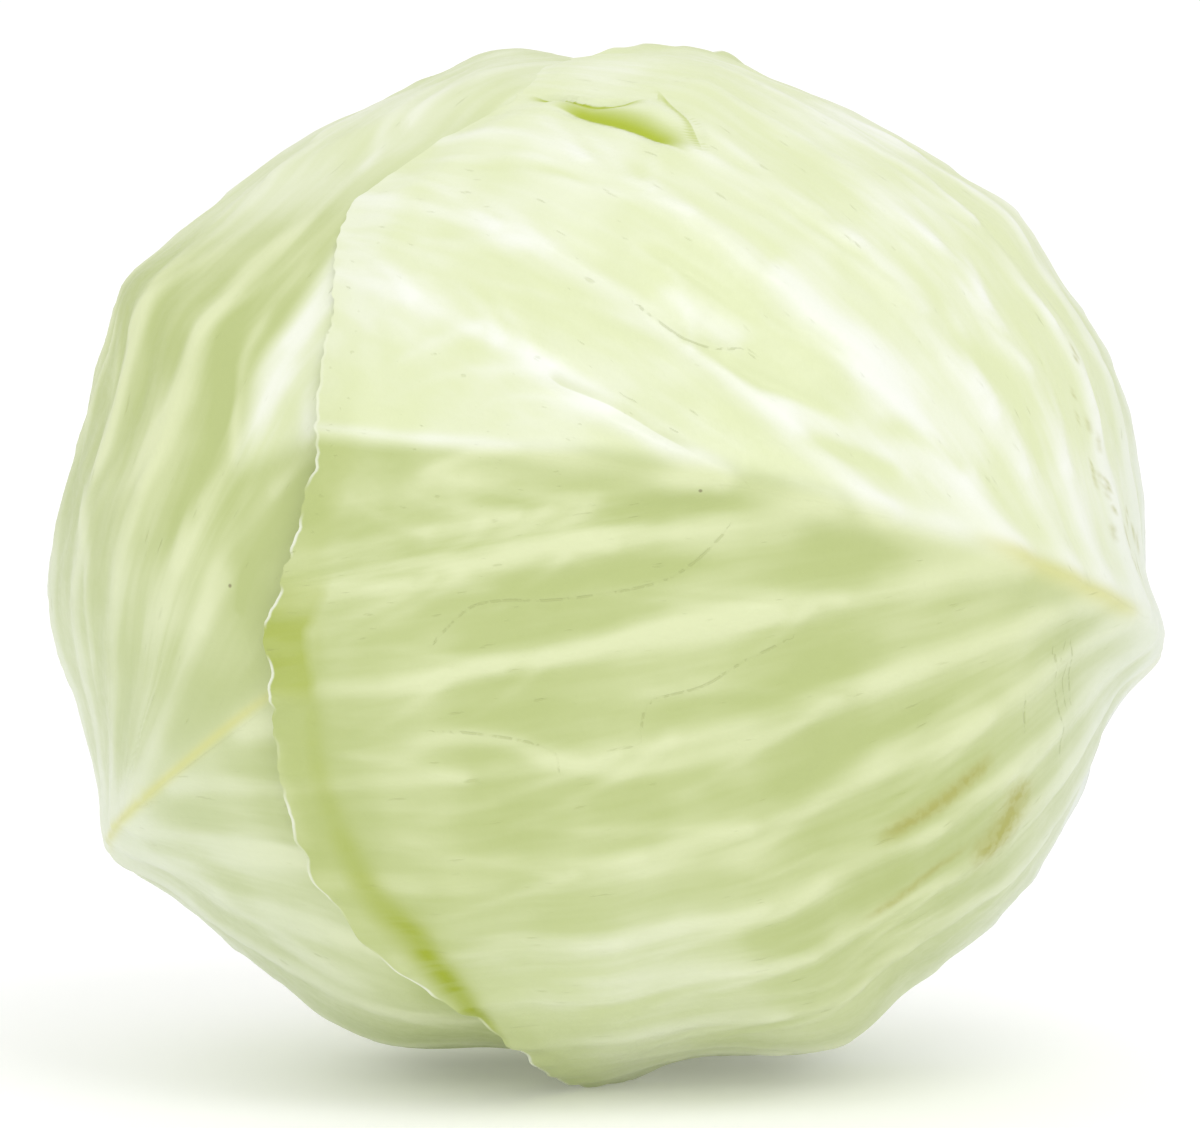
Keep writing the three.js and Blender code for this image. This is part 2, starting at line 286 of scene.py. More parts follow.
# Where ribs leave the midrib, and where they meet the leaf's edge along the midrib and across it, in
# degrees of arc from the middle of the leaf. Left and right are as seen from outside, tip up.
FOOT = (BASE, BASE, 15)
FRONT_RIBS = {
    "left": [
        FOOT, (-84, -84, 36), (-68, -60, 66), (-46, -30, 82), (-26, -2, 86), (-12, 17, 88),
        (-6, 32, 89), (0, 46, 89), (8, 63, 88), (15, 82, 76), (29, 97, 60), (52, 107, 43), (67, 110, 33),
        (84, 112.5, 0),
    ],
    "right": [
        FOOT, (-84, -84, 36), (-68, -58, 66), (-48, -28, 82), (-30, -4, 84), (-16, 11, 82),
        (-4, 22, 79), (5, 32, 75), (14, 44, 69), (21, 56, 67), (30, 80, 76), (46, 97, 63), (65, 107, 42),
        (84, 112.5, 0),
    ],
}
SIDE_RIBS = {
    "left": [
        FOOT, (-84, -84, 34), (-72, -66, 62), (-56, -42, 82), (-42, -22, 91), (-32, -6, 96),
        (-24, 12, 100), (-17, 32, 103), (-10, 52, 98), (-5, 66, 84), (-3, 78, 68), (30, 96, 34), (64, 102, 0),
    ],
    "right": [
        FOOT, (-84, -84, 34), (-72, -68, 60), (-58, -44, 80), (-44, -22, 88), (-32, -4, 90),
        (-22, 11, 90), (-14, 29, 84), (-6, 46, 76), (4, 64, 66), (16, 79, 51), (38, 93, 27), (64, 102, 0),
    ],
}
BROAD_RIBS = {
    "left": [
        FOOT, (-82, -80, 40), (-64, -56, 70), (-44, -22, 88), (-24, 14, 91), (-6, 48, 84),
        (16, 74, 64), (42, 92, 34), (68, 98, 0),
    ],
    "right": [
        FOOT, (-82, -80, 38), (-64, -54, 68), (-42, -18, 86), (-22, 16, 90), (-2, 50, 83),
        (20, 76, 62), (44, 92, 34), (68, 98, 0),
    ],
}

# The leaves from the outermost in: the turn of each round the stem, its ribs, how tall they are at
# the midrib, how far its knuckle stands out, and where along the midrib that is.
LEAVES = [
    {"turn": -9.3, "ribs": FRONT_RIBS, "tall": 1.05, "knuckle": 2.6, "bend": -12},
    {"turn": 210.6, "ribs": SIDE_RIBS, "tall": 0.9, "knuckle": 2.2, "bend": -23},
    {"turn": 70, "ribs": BROAD_RIBS, "tall": 1.25, "knuckle": 2.4, "bend": -20},
    {"turn": 290, "ribs": BROAD_RIBS, "tall": 1.25, "knuckle": 2.0, "bend": -20},
    {"turn": 150, "ribs": BROAD_RIBS, "tall": 1.25, "knuckle": 2.0, "bend": -20},
]
HALVES = [("left", 1), ("right", -1)]
KNUCKLE_WIDTH = 8
KNUCKLE_LENGTH = 20


def cos_sin(degrees):
    """The cosine and sine of an angle."""
    return np.cos(np.radians(degrees)), np.sin(np.radians(degrees))


def smooth(share):
    """A smooth step from 0 to 1."""
    share = np.clip(share, 0, 1)
    return share * share * (3 - 2 * share)


def bell(x):
    """1 at 0, falling away on both sides."""
    return np.exp(-x * x)


def faded_ends(share, steepness):
    """1 along a line but for a fade to 0 at both ends."""
    return smooth(steepness * share) * smooth(steepness * (1 - share))


def between(pair, share):
    """The value at a share of the way from the first of a pair to the second."""
    return pair[0] + (pair[1] - pair[0]) * share


def closed_curve(points, turns):
    """A smooth closed curve through (turn, value) points: cubics whose slopes join the neighbours."""
    at, value = np.array(points, float).T
    at = np.concatenate([at[-2:] - FULL_TURN, at, at[:2] + FULL_TURN])
    value = np.concatenate([value[-2:], value, value[:2]])
    asked = np.mod(turns, FULL_TURN)
    k = np.searchsorted(at, asked, side="right") - 1
    width = at[k + 1] - at[k]
    share = (asked - at[k]) / width
    slope_before = (value[k + 1] - value[k - 1]) / (at[k + 1] - at[k - 1]) * width
    slope_after = (value[k + 2] - value[k]) / (at[k + 2] - at[k]) * width
    bend = (1 - share) * slope_before - share * slope_after
    return value[k] + (value[k + 1] - value[k]) * smooth(share) + share * (1 - share) * bend


def cubic(p0, p1, p2, p3, share):
    """The value at a share of the way from the second to the third of four, on a smooth cubic."""
    bend = 2 * p0 - 5 * p1 + 4 * p2 - p3 + share * (3 * (p1 - p2) + p3 - p0)
    return p1 + 0.5 * share * (p2 - p0 + share * bend)


def smooth_line(points, steps=5):
    """Points on a smooth line through the given ones: cubics whose slopes join the neighbours."""
    points = np.asarray(points, float)
    padded = np.concatenate([points[:1], points, points[-1:]])
    share = np.linspace(0, 1, steps, endpoint=False)[None, :, None]
    line = cubic(*(padded[k : len(points) - 1 + k, None] for k in range(4)), share)
    return np.concatenate([line.reshape(-1, points.shape[1]), points[-1:]])


def floor_reach(ways):
    """How far directions reach from the middle before they meet the floor."""
    down = -to_part(ways)[..., 2]
    return np.where(down > 0.2, MIDDLE[2] / np.maximum(down, 0.2), 1000)


def head_radius(ways):
    """The head's outer size along directions: rounded domes in front of and behind the outline."""
    right, up, front = np.moveaxis(ways, -1, 0)
    outline = closed_curve(OUTLINE, np.degrees(np.arctan2(up, right)))
    depth = np.where(front > 0, FRONT_DEPTH, BACK_DEPTH)
    total = (np.hypot(right, up) / outline) ** DOME_POWER + (np.abs(front) / depth) ** DOME_POWER
    return np.minimum(total ** (-1 / DOME_POWER), floor_reach(ways))


def leaf_axes(turn):
    """A leaf's axes: out through its middle, along its midrib to the tip, and across to its left."""
    rightward, upward = cos_sin(turn)
    outward = stem_right * rightward + stem_up * upward
    cos, sin = cos_sin(MAP_CENTRE)
    centre = stem_axis * cos + outward * sin
    along = outward * cos - stem_axis * sin
    return centre, along, np.cross(centre, along)


def map_ways(axes, p, q):
    """Directions to places of a leaf's map, p along the midrib and q across, in degrees of arc."""
    centre, along, across = axes
    arc = np.radians(np.hypot(p, q))
    spread = np.radians(1) * np.sinc(arc / math.pi)
    aside = (p * spread)[..., None] * along + (q * spread)[..., None] * across
    return np.cos(arc)[..., None] * centre + aside


def cover(leaf, ways):
    """1 where a leaf covers directions, falling to 0 a little way past its edge."""
    centre, along, across = leaf["axes"]
    arc = np.degrees(np.arccos(np.clip(ways @ centre, -1, 1)))
    turn = np.degrees(np.arctan2(ways @ across, ways @ along))
    past = arc - closed_curve(leaf["edge"], turn)
    return 1 - smooth((past - FULL_COVER) / (NO_COVER - FULL_COVER))


def pressed_by(number, ways):
    """How deep the leaves outside this one press it along directions, and how open it is to the air."""
    depth = np.zeros(ways.shape[:-1])
    still_open = np.ones(ways.shape[:-1])
    for leaf in LEAVES[:number]:
        covered = cover(leaf, ways)
        depth += LAYER * covered
        still_open *= 1 - covered
    return depth, still_open


def rib_at(ribs, place):
    """The (start, end, out) of the rib at a place between the listed ones, by cubics through them."""
    table = np.array(ribs, float)
    k = np.clip(np.floor(place).astype(int), 0, len(table) - 2)
    share = (place - k)[..., None]
    beside = (table[np.clip(k + step, 0, len(table) - 1)] for step in (-1, 0, 1, 2))
    return np.moveaxis(cubic(*beside, share), -1, 0)


def rib_point(ribs, place, share):
    """The (p, q) at a share of a rib's length: it leaves along the midrib and bends outwards."""
    start, end, out = rib_at(ribs, np.asarray(place, float))
    bow = RIB_BOW * share * (1 - share)
    return start + (end - start) * (share + bow), out * (share - bow)


def among_ribs(ribs, p, q):
    """Which rib passes through places of half a leaf, and at what share of its length.

    The share comes from q, because a rib is at out (s - bow) there, and the rib is found by halving
    a range of ribs until the one in its middle reaches p at that share.
    """
    low = np.zeros(p.shape)
    high = np.full(p.shape, len(ribs) - 1.0)
    for _ in range(16):
        place = (low + high) / 2
        start, end, out = rib_at(ribs, place)
        ratio = np.clip(q / np.maximum(out, 1e-6), 0, 1.3)
        share = (np.sqrt((1 - RIB_BOW) ** 2 + 4 * RIB_BOW * ratio) - (1 - RIB_BOW)) / (2 * RIB_BOW)
        behind = start + (end - start) * (share + RIB_BOW * share * (1 - share)) < p
        low = np.where(behind, place, low)
        high = np.where(behind, high, place)
    return place, share


for leaf in LEAVES:
    left, right = np.array(leaf["ribs"]["left"]), np.array(leaf["ribs"]["right"])
    leaf["axes"] = leaf_axes(leaf["turn"])
    ends_p = np.concatenate([left[:, 1], right[:-1, 1]])
    ends_q = np.concatenate([left[:, 2], -right[:-1, 2]])
    turns = np.mod(np.degrees(np.arctan2(ends_q, ends_p)), FULL_TURN)
    order = np.argsort(turns)
    leaf["edge"] = np.stack([turns, np.hypot(ends_p, ends_q)], axis=-1)[order]


def from_line(ways, line, within):
    """How far directions are from a line of them in mm, how far along it they are, and on which side.

    The distance is to the nearest stretch of the line, the second value is a share of its length, and
    the side is 1 to its left as seen from outside and -1 to its right. Directions further away than
    within stay at a great distance.
    """
    gap = np.full(len(ways), 1000.0)
    share = np.zeros(len(ways))
    side = np.ones(len(ways))
    middle = line.mean(axis=0)
    size = np.linalg.norm(line - middle, axis=1).max() + within / HEAD_SIZE
    near = np.flatnonzero(((ways - middle) ** 2).sum(axis=1) < size**2)
    close = ways[near]
    for k, (start, end) in enumerate(zip(line[:-1], line[1:])):
        span = end - start
        along = np.clip((close - start) @ span / max(span @ span, 1e-12), 0, 1)
        distance = np.linalg.norm(close - start - along[:, None] * span, axis=1) * HEAD_SIZE
        nearer = distance < gap[near]
        gap[near] = np.where(nearer, distance, gap[near])
        share[near] = np.where(nearer, (k + along) / (len(line) - 1), share[near])
        side[near] = np.where(nearer, np.where(close @ np.cross(start, span) > 0, 1, -1), side[near])
    return gap, share, side


def raised(ways, lines):
    """How far lines stand out: each is a bell across, and where lines meet the higher one wins softly.

    A line is its directions, its (first, last) height, and its (first, last) width.
    """
    total = np.zeros(len(ways))
    for line, height, width in lines:
        gap, share, _ = from_line(ways, line, 4 * max(width))
        total += (between(height, share) * bell(gap / between(width, share))) ** 3
    return np.cbrt(total)


def ripples(ways, size, seed):
    """Gentle seeded unevenness, about -1 to 1: a sum of waves of about this length in mm, all ways."""
    random = np.random.default_rng(seed)
    headings = random.normal(size=(20, 3))
    headings /= np.linalg.norm(headings, axis=1, keepdims=True)
    waves = headings * (2 * math.pi * HEAD_SIZE / size * random.uniform(0.7, 1.4, 20))[:, None]
    return np.sin(ways @ waves.T + random.uniform(0, 2 * math.pi, 20)).sum(axis=-1) / 6


def waver(turns, cycles, seed):
    """Seeded waves round an edge, about -1 to 1, each with its own whole number of cycles a turn."""
    random = np.random.default_rng(seed)
    counts = random.integers(cycles[0], cycles[1], 9)
    phases = random.uniform(0, 2 * math.pi, 9)
    return np.sin(np.radians(turns)[:, None] * counts + phases).sum(axis=1) / 4


def spaced_turns(count, dense_from, dense_to, weight):
    """Turns round a leaf, closer together by a weight between two of them."""
    fine = np.linspace(-180, 180, 3601)
    share = smooth((fine - dense_from) / 12 + 0.5) * smooth((dense_to - fine) / 12 + 0.5)
    total = np.cumsum(1 + (weight - 1) * share)
    total = (total - total[0]) / (total[-1] - total[0])
    return np.interp(np.arange(count) / count, total, fine)


def leaf_lines(leaf, seed):
    """The ribs of both halves of a leaf, and seeded side veins that leave them, as raised lines."""
    random = np.random.default_rng(seed)
    ribs_out, veins_out = [], []
    share = np.linspace(0.015, 0.985, 14)
    for half, hand in HALVES:
        ribs = leaf["ribs"][half]
        for k in range(1, len(ribs) - 1):
            p, q = rib_point(ribs, np.full(share.shape, float(k)), share)
            tall = leaf["tall"] * random.uniform(0.7, 1.2)
            way = map_ways(leaf["axes"], p, hand * q)
            ribs_out.append((way, (tall, 0.35 * tall), (random.uniform(2.4, 3.4), 1.8)))
            for side in (-1, 1):
                for first in random.uniform(0.18, 0.8, 3):
                    steps = np.linspace(0, 1, 5)
                    places = k + side * random.uniform(0.35, 0.55) * steps**0.85
                    places = np.clip(places, 0.1, len(ribs) - 1.1)
                    shares = np.minimum(first + random.uniform(0.12, 0.26) * steps, 0.99)
                    p, q = rib_point(ribs, places, shares)
                    way = map_ways(leaf["axes"], p, hand * q)
                    veins_out.append((way, VEIN_HEIGHT, VEIN_WIDTH))
    return ribs_out, veins_out


def leaf_surface(number, columns, rows, ragged, dense=(-180, 180, 1.0), edge=None, seed=1):
    """The outside of a leaf as a grid of directions out from its middle to its edge, with its relief.

    A column is a turn about the leaf's middle, and a row is a share of the way to the edge, closer
    together near it. The height that stands out of the blade adds the midrib, its knuckle, the ribs,
    their side veins and seeded unevenness.
    """
    leaf = LEAVES[number]
    turns = spaced_turns(columns, *dense)
    reach = closed_curve(leaf["edge"] if edge is None else edge, turns) + ragged(turns)
    shares = 1 - (1 - np.linspace(0, 1, rows + 1)[1:]) ** 1.12
    arc = (shares[:, None] * reach[None, :]).ravel()
    turn = np.tile(turns, rows)
    p, q = (np.append(arc * part, 0) for part in cos_sin(turn))
    ways = map_ways(leaf["axes"], p, q)
    depth, still_open = pressed_by(number, ways)
    edge_gap = np.append(np.tile(reach, rows) - arc, reach.min()) * DEGREE
    halves = [among_ribs(leaf["ribs"][half], p, np.maximum(hand * q, 0)) for half, hand in HALVES]
    place, share = np.where(q >= 0, *halves)
    away = np.abs(q) * DEGREE
    from_base = np.clip((p - BASE) / (TIP - BASE), 0, 1)
    midrib = between(MIDRIB_HEIGHT, from_base) * bell(away / between(MIDRIB_WIDTH, from_base))
    knuckle = leaf["knuckle"] * bell(away / KNUCKLE_WIDTH) * bell((p - leaf["bend"]) / KNUCKLE_LENGTH)
    rib_lines, vein_lines = leaf_lines(leaf, seed)
    ribs = raised(ways, rib_lines)
    veins = raised(ways, vein_lines)
    uneven = sum(high * ripples(ways, long, seed + 1 + k) for k, (high, long) in enumerate(UNEVENNESS))
    return {
        "number": number, "columns": columns, "rows": rows, "turn": np.append(turn, 0), "ways": ways,
        "p": p, "q": q, "place": place, "share": share, "depth": depth, "open": still_open,
        "edge_gap": edge_gap, "curl": EDGE_CURL * still_open * smooth(1 - edge_gap / CURL_REACH),
        "height": midrib + knuckle + ribs + veins + uneven,
        "rib": 0.62 * ribs + 0.9 * veins + 0.5 * bell(away / between((7, 2.2), from_base)),
        "base": smooth((85 - np.hypot(p + 55, 1.1 * q)) / 45), "calm": bell(away / 7),
        "edge": np.clip(edge_gap / 20, 0, 1), "band": 0.15 * smooth(2 - edge_gap / 4),
        **{title: np.zeros(len(p)) for title in ("bloom_and_painted_light", "mark", "tan", "crease_near", "fold_near")},
        **{title: np.ones(len(p)) for title in ("painted_edge_highlight", "crease", "fold")},
    }


def dressed(name, places, faces, sharp, values, material):
    """A smooth surface that is sharp above an angle, with its vertex values, put in the scene."""
    mesh = bpy.data.meshes.new(name)
    mesh.from_pydata(to_metres(places).tolist(), [], faces)
    mesh.shade_smooth()
    mesh.set_sharp_from_angle(angle=math.radians(sharp))
    for title, value in values.items():
        mesh.attributes.new(title, "FLOAT", "POINT").data.foreach_set("value", value.astype(np.float32))
    mesh.materials.append(material)
    return put_in_scene(name, mesh)


def faces_from(*corners):
    """Faces as lists of the vertices at their corners."""
    return np.stack(corners, axis=-1).reshape(-1, len(corners)).tolist()


def leaf_piece(name, node, skin, material):
    """A leaf as one closed blade: its outside grid, a coarser inside with the same edge, and the rim."""
    rows, columns = skin["rows"], skin["columns"]
    ways, still_open = skin["ways"], skin["open"]
    head = head_radius(ways)
    outside = head - skin["depth"] + skin["curl"] + still_open * skin["height"]
    outside = np.minimum(outside, floor_reach(ways))
    thin = EDGE_BLADE + (BLADE - EDGE_BLADE) * smooth(skin["edge_gap"] / THINNING)
    inside = np.minimum(head - skin["depth"] - thin + skin["curl"], outside - thin)
    grid = np.arange(rows * columns).reshape(rows, columns)
    pole = rows * columns
    around = np.roll(np.arange(columns), -1)

    # The inside takes every sixth row and fourth column, and near the edge every third row.
    skip = 4
    few = grid[:, ::skip]
    coarse_rows = list(range(5, rows - 12, 6))
    fine_rows = list(range(coarse_rows[-1] + 3, rows - 1, 3)) + [rows - 1]
    inside_ids = np.full(pole + 1, -1)
    used = np.concatenate([few[coarse_rows].ravel(), grid[fine_rows].ravel(), [pole]])
    inside_ids[used] = pole + 1 + np.arange(len(used))

    def quads(ids, turned):
        """Faces between the rows and columns of a closed grid, seen from outside or from inside."""
        onward = np.roll(ids, -1, axis=1)
        corners = [ids[:-1], ids[1:], onward[1:], onward[:-1]]
        return faces_from(*(corners[::-1] if turned else corners))

    inner_coarse = inside_ids[few[coarse_rows]]
    inner_fine = inside_ids[grid[fine_rows]]
    first, inner_first = grid[0], inner_coarse[0]
    last, inner_last = grid[-1], inner_fine[-1]
    faces = quads(grid, False) + quads(inner_coarse, True) + quads(inner_fine, True)
    faces += faces_from(last, inner_last, inner_last[around], last[around])
    faces += faces_from(np.full(columns, pole), first, first[around])
    pole_inside = np.full(len(inner_first), inside_ids[pole])
    faces += faces_from(pole_inside, np.roll(inner_first, -1), inner_first)
    coarse_edge, fine_edge = inner_coarse[-1], inner_fine[0]
    starts = np.arange(0, columns, skip)
    for step in range(skip):
        faces += faces_from(coarse_edge, fine_edge[(starts + step + 1) % columns], fine_edge[starts + step])
    faces += faces_from(coarse_edge, np.roll(coarse_edge, -1), fine_edge[(starts + skip) % columns])

    points = np.concatenate([ways * outside[:, None], (ways * inside[:, None])[used]])
    values = {title: np.concatenate([skin[title], skin[title][used]]) for title in SKIN_VALUES}
    piece = dressed(name, points, faces, LEAF_SHARP, values, material)
    corners = np.empty(len(piece.data.loops), np.int32)
    piece.data.loops.foreach_get("vertex_index", corners)
    flat = np.stack([skin["place"] / MAP_RIBS, skin["share"] / MAP_LENGTH], axis=-1)
    flat = np.concatenate([flat, flat[used]])[corners].astype(np.float32)
    piece.data.uv_layers.new(name="along the ribs").data.foreach_set("uv", flat.ravel())
    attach(piece, "root")
    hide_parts(node)
    return piece


SKIN_VALUES = (
    "rib", "base", "calm", "edge", "band", "bloom_and_painted_light", "mark", "tan", "painted_edge_highlight", "crease", "crease_near", "fold",
    "fold_near",
)

# Streaks along the ribs, from the leaf's own map, from 0 to 1.
streaks, taken, given = new_group("rib streaks", "Leaf map", {"Count": 300.0}, ["Streak"])
streak_noise = noise(streaks, scaled(streaks, taken["Leaf map"], (0.5, 0.05, 0.0)), taken["Count"])
streaks.links.new(ramp(streaks, streak_noise, 0.3, 0.7), given["Streak"])

# Fine scratches along the ribs: the highest crests of a noise stretched along them.
scratches, taken, given = new_group("fine scratches", "Leaf map", {}, ["Scratch"])
crests = noise(scratches, scaled(scratches, taken["Leaf map"], (230.0, 24.0, 0.0)), 1.0)
scratches.links.new(ramp(scratches, crests, 0.68, 0.76), given["Scratch"])

# Specks of dirt and bruise: small dots in a few of many cells.
specks, taken, given = new_group("brown specks", "Place", {"Scarce": 0.93}, ["Speck"])
dots = add_node(specks, "ShaderNodeTexVoronoi", {"Vector": taken["Place"], "Scale": 130.0}, feature="F1")
chosen = add_node(specks, "ShaderNodeSeparateColor", {"Color": dots.outputs["Color"]})
dot = ramp(specks, dots.outputs["Distance"], 0.02, 0.06, 1.0, 0.0)
kept = calculate(specks, "GREATER_THAN", chosen.outputs[0], taken["Scarce"])
specks.links.new(times(specks, dot, kept), given["Speck"])


TANNED = colour(208, 209, 132)
FRESH_GREEN = colour(170, 186, 30)
CREASE_SHADE = colour(156, 164, 96)
SCRATCHED = colour(160, 168, 96)
BRUISED = colour(168, 168, 82)
SPECK_BROWN = colour(120, 112, 78)


def leaf_skin(name, hollow, rib, bloom_and_light_hollow, bloom_and_light_rib, foot, rim, scarce):
    """Waxy leaf: green hollows, paler ribs and foot, a yellow-green rim, scratches, specks, and painted light
    and shade.
    """
    material, tree, shader, place = new_material(name)
    leaf_map = add_node(tree, "ShaderNodeTexCoord").outputs["UV"]
    own = {title: stored(tree, title) for title in SKIN_VALUES}
    cloud = grouped(tree, clouds, {"Place": place, "Size": 38.0})
    scratch = grouped(tree, scratches, {"Leaf map": leaf_map})["Scratch"]
    streak = grouped(tree, streaks, {"Leaf map": leaf_map, "Count": 150.0})["Streak"]
    speck = grouped(tree, specks, {"Place": place, "Scarce": scarce})["Speck"]

    clouded = times(tree, cloud["Tone"], 0.5)
    rough_part = calculate(tree, "SUBTRACT", 0.2, times(tree, own["calm"], 0.2))
    streaked = times(tree, streak, rough_part)
    pale = calculate(tree, "ADD", own["rib"], calculate(tree, "ADD", clouded, streaked))
    pale = ramp(tree, pale, 0.0, 1.3)
    skin = blend_colours(tree, pale, hollow, rib)
    # Where the bloom value is high the skin takes paler, whiter colours: waxy bloom together with painted
    # light and sheen.
    bloomed_and_lit = blend_colours(tree, pale, bloom_and_light_hollow, bloom_and_light_rib)
    skin = blend_colours(tree, own["bloom_and_painted_light"], skin, bloomed_and_lit)
    blanched = times(tree, own["base"], ramp(tree, pale, 0.1, 0.8, 0.55, 1.0))
    banded = times(tree, own["band"], ramp(tree, streak, 0.1, 0.9, 0.8, 1.0))
    fold_green = times(tree, own["fold_near"], ramp(tree, own["fold"], -0.06, 0.06))
    fold_green = times(tree, fold_green, ramp(tree, own["fold"], 0.1, 1.0, 1.0, 0.0))
    # A thin pale line along the very edge is a painted highlight.
    painted_edge_highlight = times(tree, own["painted_edge_highlight"], ramp(tree, own["edge"], 0.012, 0.035, 0.7, 0.0))
    # Painted shade along the crease lines, broken up by the grain.
    line = ramp(tree, calculate(tree, "ABSOLUTE", own["crease"]), 0.08, 0.3, 1.0, 0.0)
    line = times(tree, line, ramp(tree, own["crease_near"], 0.2, 0.9))
    line = times(tree, line, ramp(tree, cloud["Grain"], 0.35, 0.65, 0.15, 1.0))
    bruise = times(tree, own["mark"], ramp(tree, cloud["Grain"], 0.25, 0.75, 0.75, 1.0))
    for share, paint in (
        (blanched, foot),
        (banded, rim),
        (own["tan"], TANNED),
        (fold_green, FRESH_GREEN),
        (painted_edge_highlight, bloom_and_light_rib),
        (times(tree, line, 0.3), CREASE_SHADE),
        (times(tree, scratch, 0.22), SCRATCHED),
        (bruise, BRUISED),
        (times(tree, speck, 0.75), SPECK_BROWN),
    ):
        skin = blend_colours(tree, share, skin, paint)
    tree.links.new(skin, shader.inputs["Base Color"])

    dull = ramp(tree, cloud["Grain"], 0.0, 1.0, 0.4, 0.52)
    tree.links.new(dull, shader.inputs["Roughness"])
    relief = times(tree, streak, 0.25)
    relief = calculate(tree, "SUBTRACT", relief, times(tree, line, 0.8))
    relief = calculate(tree, "SUBTRACT", relief, times(tree, scratch, 0.6))
    relief = calculate(tree, "ADD", relief, times(tree, cloud["Grain"], 0.25))
    emboss(tree, shader, relief, 0.0003, 0.5)
    shader.inputs["Coat Weight"].default_value = 0.12
    shader.inputs["Coat Roughness"].default_value = 0.3
    return material


pale_skin = leaf_skin(
    "pale leaf",
    hollow=colour(214, 224, 168),
    rib=colour(234, 240, 208),
    bloom_and_light_hollow=colour(226, 236, 188),
    bloom_and_light_rib=colour(240, 245, 218),
    foot=colour(230, 234, 210),
    rim=colour(186, 202, 98),
    scarce=0.97,
)


def plain_ragged(turns):
    """A slightly uneven edge, in degrees of arc."""
    return 0.5 * waver(turns, (14, 60), 31)


for number, name, node in (
    (4, "back_leaf", "leaf_5_back"),
    (3, "under_leaf", "leaf_4_under"),
    (2, "top_leaf", "leaf_3_top"),
):
    skin = leaf_surface(number, 320, 84, plain_ragged, seed=40 + number)
    leaf_piece(name, node, skin, pale_skin)


# Left leaf: the second leaf in, which shows left of the front leaf's edge with its own midrib and
# knuckle, and wraps most of the back. Its ribs show as pale bands with green hollows between them,
# whose darker green is partly painted shade. Bands are (p, q) points, how much paler or greener than
# the rest, and the width in mm.
PALE_BANDS_LEFT = [
    ([(44, 45), (39.6, 38.7), (37.5, 34.8), (34.8, 31.9), (31.5, 27.2)], 0.6, 2.6),
    ([(38.3, 58.4), (32.6, 56.5), (29.3, 53.4), (27.6, 47), (23.4, 38.2), (16.3, 33), (9, 25.6)], 0.65, 2.2),
    ([(35, 45.8), (33.2, 40), (30.8, 33.5), (29.1, 25.5)], 0.5, 1.2),
    ([(15.6, 53), (15.2, 48), (11.8, 44), (8.2, 37.5), (6.8, 33)], 0.5, 1.4),
    ([(4.8, 56), (5, 50.7), (0.9, 47.7), (-1.5, 41.2), (-1.8, 37)], 0.5, 1.3),
    ([(2.9, 36), (3.8, 30), (4, 23.6), (0, 17), (-5, 12)], 0.5, 1.6),
    ([(-12.7, -3.6), (1.5, -9.8), (10.9, -16.2)], 0.35, 2.5),
    ([(-8.1, -10.2), (-3.8, -17.5), (2.6, -24.9)], 0.35, 2.5),
    ([(-5.8, -16.7), (-3.7, -24.4), (-0.2, -32.6)], 0.35, 2.5),
]
SHADED_HOLLOWS_LEFT = [
    ([(19.5, 56), (18.3, 48), (16.5, 43), (13.6, 38), (9, 31)], -0.42, 2.6),
    ([(31, 48), (30.2, 44), (29.3, 34.5), (25, 28), (20, 22.8), (15, 18)], -0.45, 2.4),
    ([(9.5, 53), (9.8, 47), (6.5, 41), (3.6, 35)], -0.3, 2.2),
    ([(24, 15), (27.5, 16.5), (33, 18.5), (37.5, 21.3), (43, 24)], -0.45, 4.5),
    ([(28.6, 15.6), (26.1, 12.9), (24, 10.4)], -0.5, 0.9),
]
TANNED_MIDRIB_LEFT = [(-24, 0), (-12.4, 0.2), (-2, 0.1), (6.7, 0.4), (19.4, 0.9), (32, 0.5)]


def near_line(skin, points, within):
    """The gap, share and side of from_line for a smooth line through (p, q) points of a leaf's map."""
    p, q = smooth_line(points).T
    return from_line(skin["ways"], map_ways(LEAVES[skin["number"]]["axes"], p, q), within)


def folded(skin, points, height, left, right):
    """A fold along a line: a bell across with its own width on each side, fading at both ends."""
    gap, share, side = near_line(skin, points, 4 * max(left, right))
    return height * bell(gap / np.where(side > 0, left, right)) * faded_ends(share, 4)


def add_bands(skin, bands, lift):
    """Bands along (p, q) lines: each makes the skin paler or greener, and lifts or sinks it a little."""
    for points, strength, width in bands:
        band = folded(skin, points, strength, width, width)
        skin["rib"] += band
        skin["height"] += lift * band


def left_ragged(turns):
    """The left leaf's edge waves in and out, in degrees of arc."""
    return 0.7 * waver(turns, (12, 50), 51) + 0.3 * waver(turns, (60, 110), 52)


skin = leaf_surface(1, 480, 112, left_ragged, seed=61)
add_bands(skin, PALE_BANDS_LEFT, 0.7)
add_bands(skin, SHADED_HOLLOWS_LEFT, 0.9)
skin["tan"] = folded(skin, TANNED_MIDRIB_LEFT, 0.75, 0.9, 0.9)
skin["height"] += 0.7 * folded(skin, TANNED_MIDRIB_LEFT, 1.0, 2.2, 1.4)
# The left leaf is painted paler and whiter beside its ribbed patch and towards its top, with the same bloom
# and painted light as the front leaf's upper side.
beside_patch = skin["p"] - 27 - 0.5 * (skin["q"] - 25)
skin["bloom_and_painted_light"] = 0.85 * smooth(beside_patch / 4) * smooth((skin["q"] - 24) / 4)
skin["bloom_and_painted_light"] = np.maximum(skin["bloom_and_painted_light"], 0.7 * smooth((skin["q"] - 54) / 14))
skin["base"] *= 0.6 * smooth((skin["q"] + 60) / 40)
outer_skin = leaf_skin(
    "outer leaf",
    hollow=colour(180, 192, 124),
    rib=colour(216, 223, 176),
    bloom_and_light_hollow=colour(217, 225, 178),
    bloom_and_light_rib=colour(239, 241, 231),
    foot=colour(223, 228, 219),
    rim=colour(157, 171, 28),
    scarce=0.96,
)
leaf_piece("left_leaf", "leaf_2_left", skin, outer_skin)


